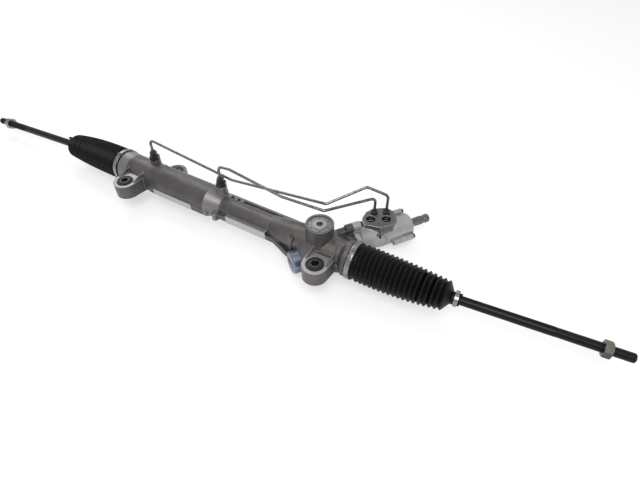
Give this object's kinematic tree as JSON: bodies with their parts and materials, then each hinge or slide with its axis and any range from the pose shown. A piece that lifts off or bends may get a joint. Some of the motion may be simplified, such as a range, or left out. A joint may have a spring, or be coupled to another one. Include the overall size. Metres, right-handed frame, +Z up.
{
  "type": "steering rack",
  "caption": "Hydraulic rack and pinion steering gear with bellows boots, tie rods, bushed mounting lugs and a valve housing fed by steel pipes.",
  "frame": {"origin": "centre of the right front bush's bore, at the height of the rack's axis", "axes": "+X along the rack towards the pinion end's tie rod, +Y from the front lugs to the rack and on to the input shaft, +Z up, along the bush bores"},
  "size_m": [1.346, 0.2535, 0.1248],
  "materials": {
    "housing_casting": "sand-blasted die casting",
    "valve_casting": "brighter die casting, satin",
    "machined_aluminium": "turned, satin",
    "cap_metal": "zinc plated steel, bluish",
    "bolt_steel": "dark plated steel",
    "machined_steel": "turned steel",
    "bearing_steel": "ground and polished",
    "bronze": "sintered bronze, oiled",
    "seal_rubber": "smooth nitrile rubber",
    "bush_rubber": "matt natural rubber",
    "boot_rubber": "moulded rubber, slightly glossy",
    "pad_plastic": "white acetal",
    "ring_plastic": "brown filled plastic",
    "pipe_steel": "zinc plated tube",
    "clamp_steel": "bright zinc plated strip",
    "rack_steel": "ground steel",
    "socket_steel": "turned, phosphated",
    "rod_steel": "black coated steel, semi gloss",
    "nut_steel": "olive grey plated steel"
  },
  "bodies": {
    "housing": {"main_housing": "housing_casting", "valve_housing": "valve_casting", "valve_cover": "valve_casting", "cover_screws": "bolt_steel", "valve_bolts": "bolt_steel", "pinion_cap": "cap_metal", "case_plug": "bolt_steel", "end_bushing": "machined_steel", "bushing_ring": "machined_steel", "outer_rack_seal": "seal_rubber", "inner_rack_seal": "seal_rubber", "support_yoke": "machined_aluminium", "yoke_pad": "pad_plastic", "yoke_spring": "machined_steel", "adjuster_plug": "machined_aluminium", "plug_lock_ring": "machined_steel", "mount_bushes": "bush_rubber", "bush_sleeves": "machined_steel", "bearing_outer_race": "bearing_steel", "pinion_bush": "bronze", "input_bearing": "bronze", "shaft_seal": "seal_rubber", "snap_ring": "machined_steel", "long_pipe": "pipe_steel", "short_pipe": "pipe_steel", "tube_nuts": "bolt_steel", "left_boot": "boot_rubber", "right_boot": "boot_rubber", "left_band_clamp": "clamp_steel", "right_band_clamp": "clamp_steel"},
    "rack": {"rack_bar": "rack_steel", "piston": "machined_steel", "piston_ring": "ring_plastic", "left_ball_socket": "socket_steel", "right_ball_socket": "socket_steel", "left_lock_washer": "machined_steel", "right_lock_washer": "machined_steel"},
    "pinion": {"pinion_shaft": "machined_steel", "bearing_inner_race": "bearing_steel", "bearing_balls": "bearing_steel", "pinion_nut": "bolt_steel", "valve_sleeve": "machined_steel", "sleeve_rings": "ring_plastic"},
    "input": {"input_shaft": "machined_steel", "torsion_bar": "rack_steel", "torsion_pins": "machined_steel"},
    "left_swivel": {"left_ball_seat": "pad_plastic"},
    "right_swivel": {"right_ball_seat": "pad_plastic"},
    "left_rod": {"left_tie_rod": "rod_steel", "left_lock_nut": "nut_steel", "left_spring_clamp": "clamp_steel"},
    "right_rod": {"right_tie_rod": "rod_steel", "right_lock_nut": "nut_steel", "right_spring_clamp": "clamp_steel"}
  },
  "joints": [
    {"name": "rack_slide", "type": "slide", "parent": "housing", "child": "rack", "axis": [1, 0, 0], "range_m": [-0.065, 0.065], "deforming": ["left_boot", "right_boot"]},
    {"name": "pinion_turn", "type": "hinge", "parent": "housing", "child": "pinion", "pos_m": [-0.0205, 0.05, -0.01814], "axis": [0.5736, 0.8192, 0], "range_deg": [-480, 480]},
    {"name": "valve_twist", "type": "hinge", "parent": "pinion", "child": "input", "pos_m": [-0.0205, 0.05, -0.01814], "axis": [0.5736, 0.8192, 0], "range_deg": [-4, 4], "stiffness_Nm_per_rad": 80},
    {"name": "right_rod_swing", "type": "hinge", "parent": "rack", "child": "right_swivel", "pos_m": [0.1395, 0.05, 0], "axis": [0, 0, 1], "range_deg": [-21.1, 10.9]},
    {"name": "right_rod_tilt", "type": "hinge", "parent": "right_swivel", "child": "right_rod", "pos_m": [0.1395, 0.05, 0], "axis": [-0.0889, 0.996, 0], "range_deg": [-15.2, 16.8]},
    {"name": "left_rod_swing", "type": "hinge", "parent": "rack", "child": "left_swivel", "pos_m": [-0.5675, 0.05, 0], "axis": [0, 0, 1], "range_deg": [-17.1, 14.9]},
    {"name": "left_rod_tilt", "type": "hinge", "parent": "left_swivel", "child": "left_rod", "pos_m": [-0.5675, 0.05, 0], "axis": [0.0192, -0.9998, 0], "range_deg": [-19.4, 12.6]}
  ],
  "couplings": [
    {"joint": "pinion_turn", "follows": "rack_slide", "rad_per_m": 128.61}
  ]
}
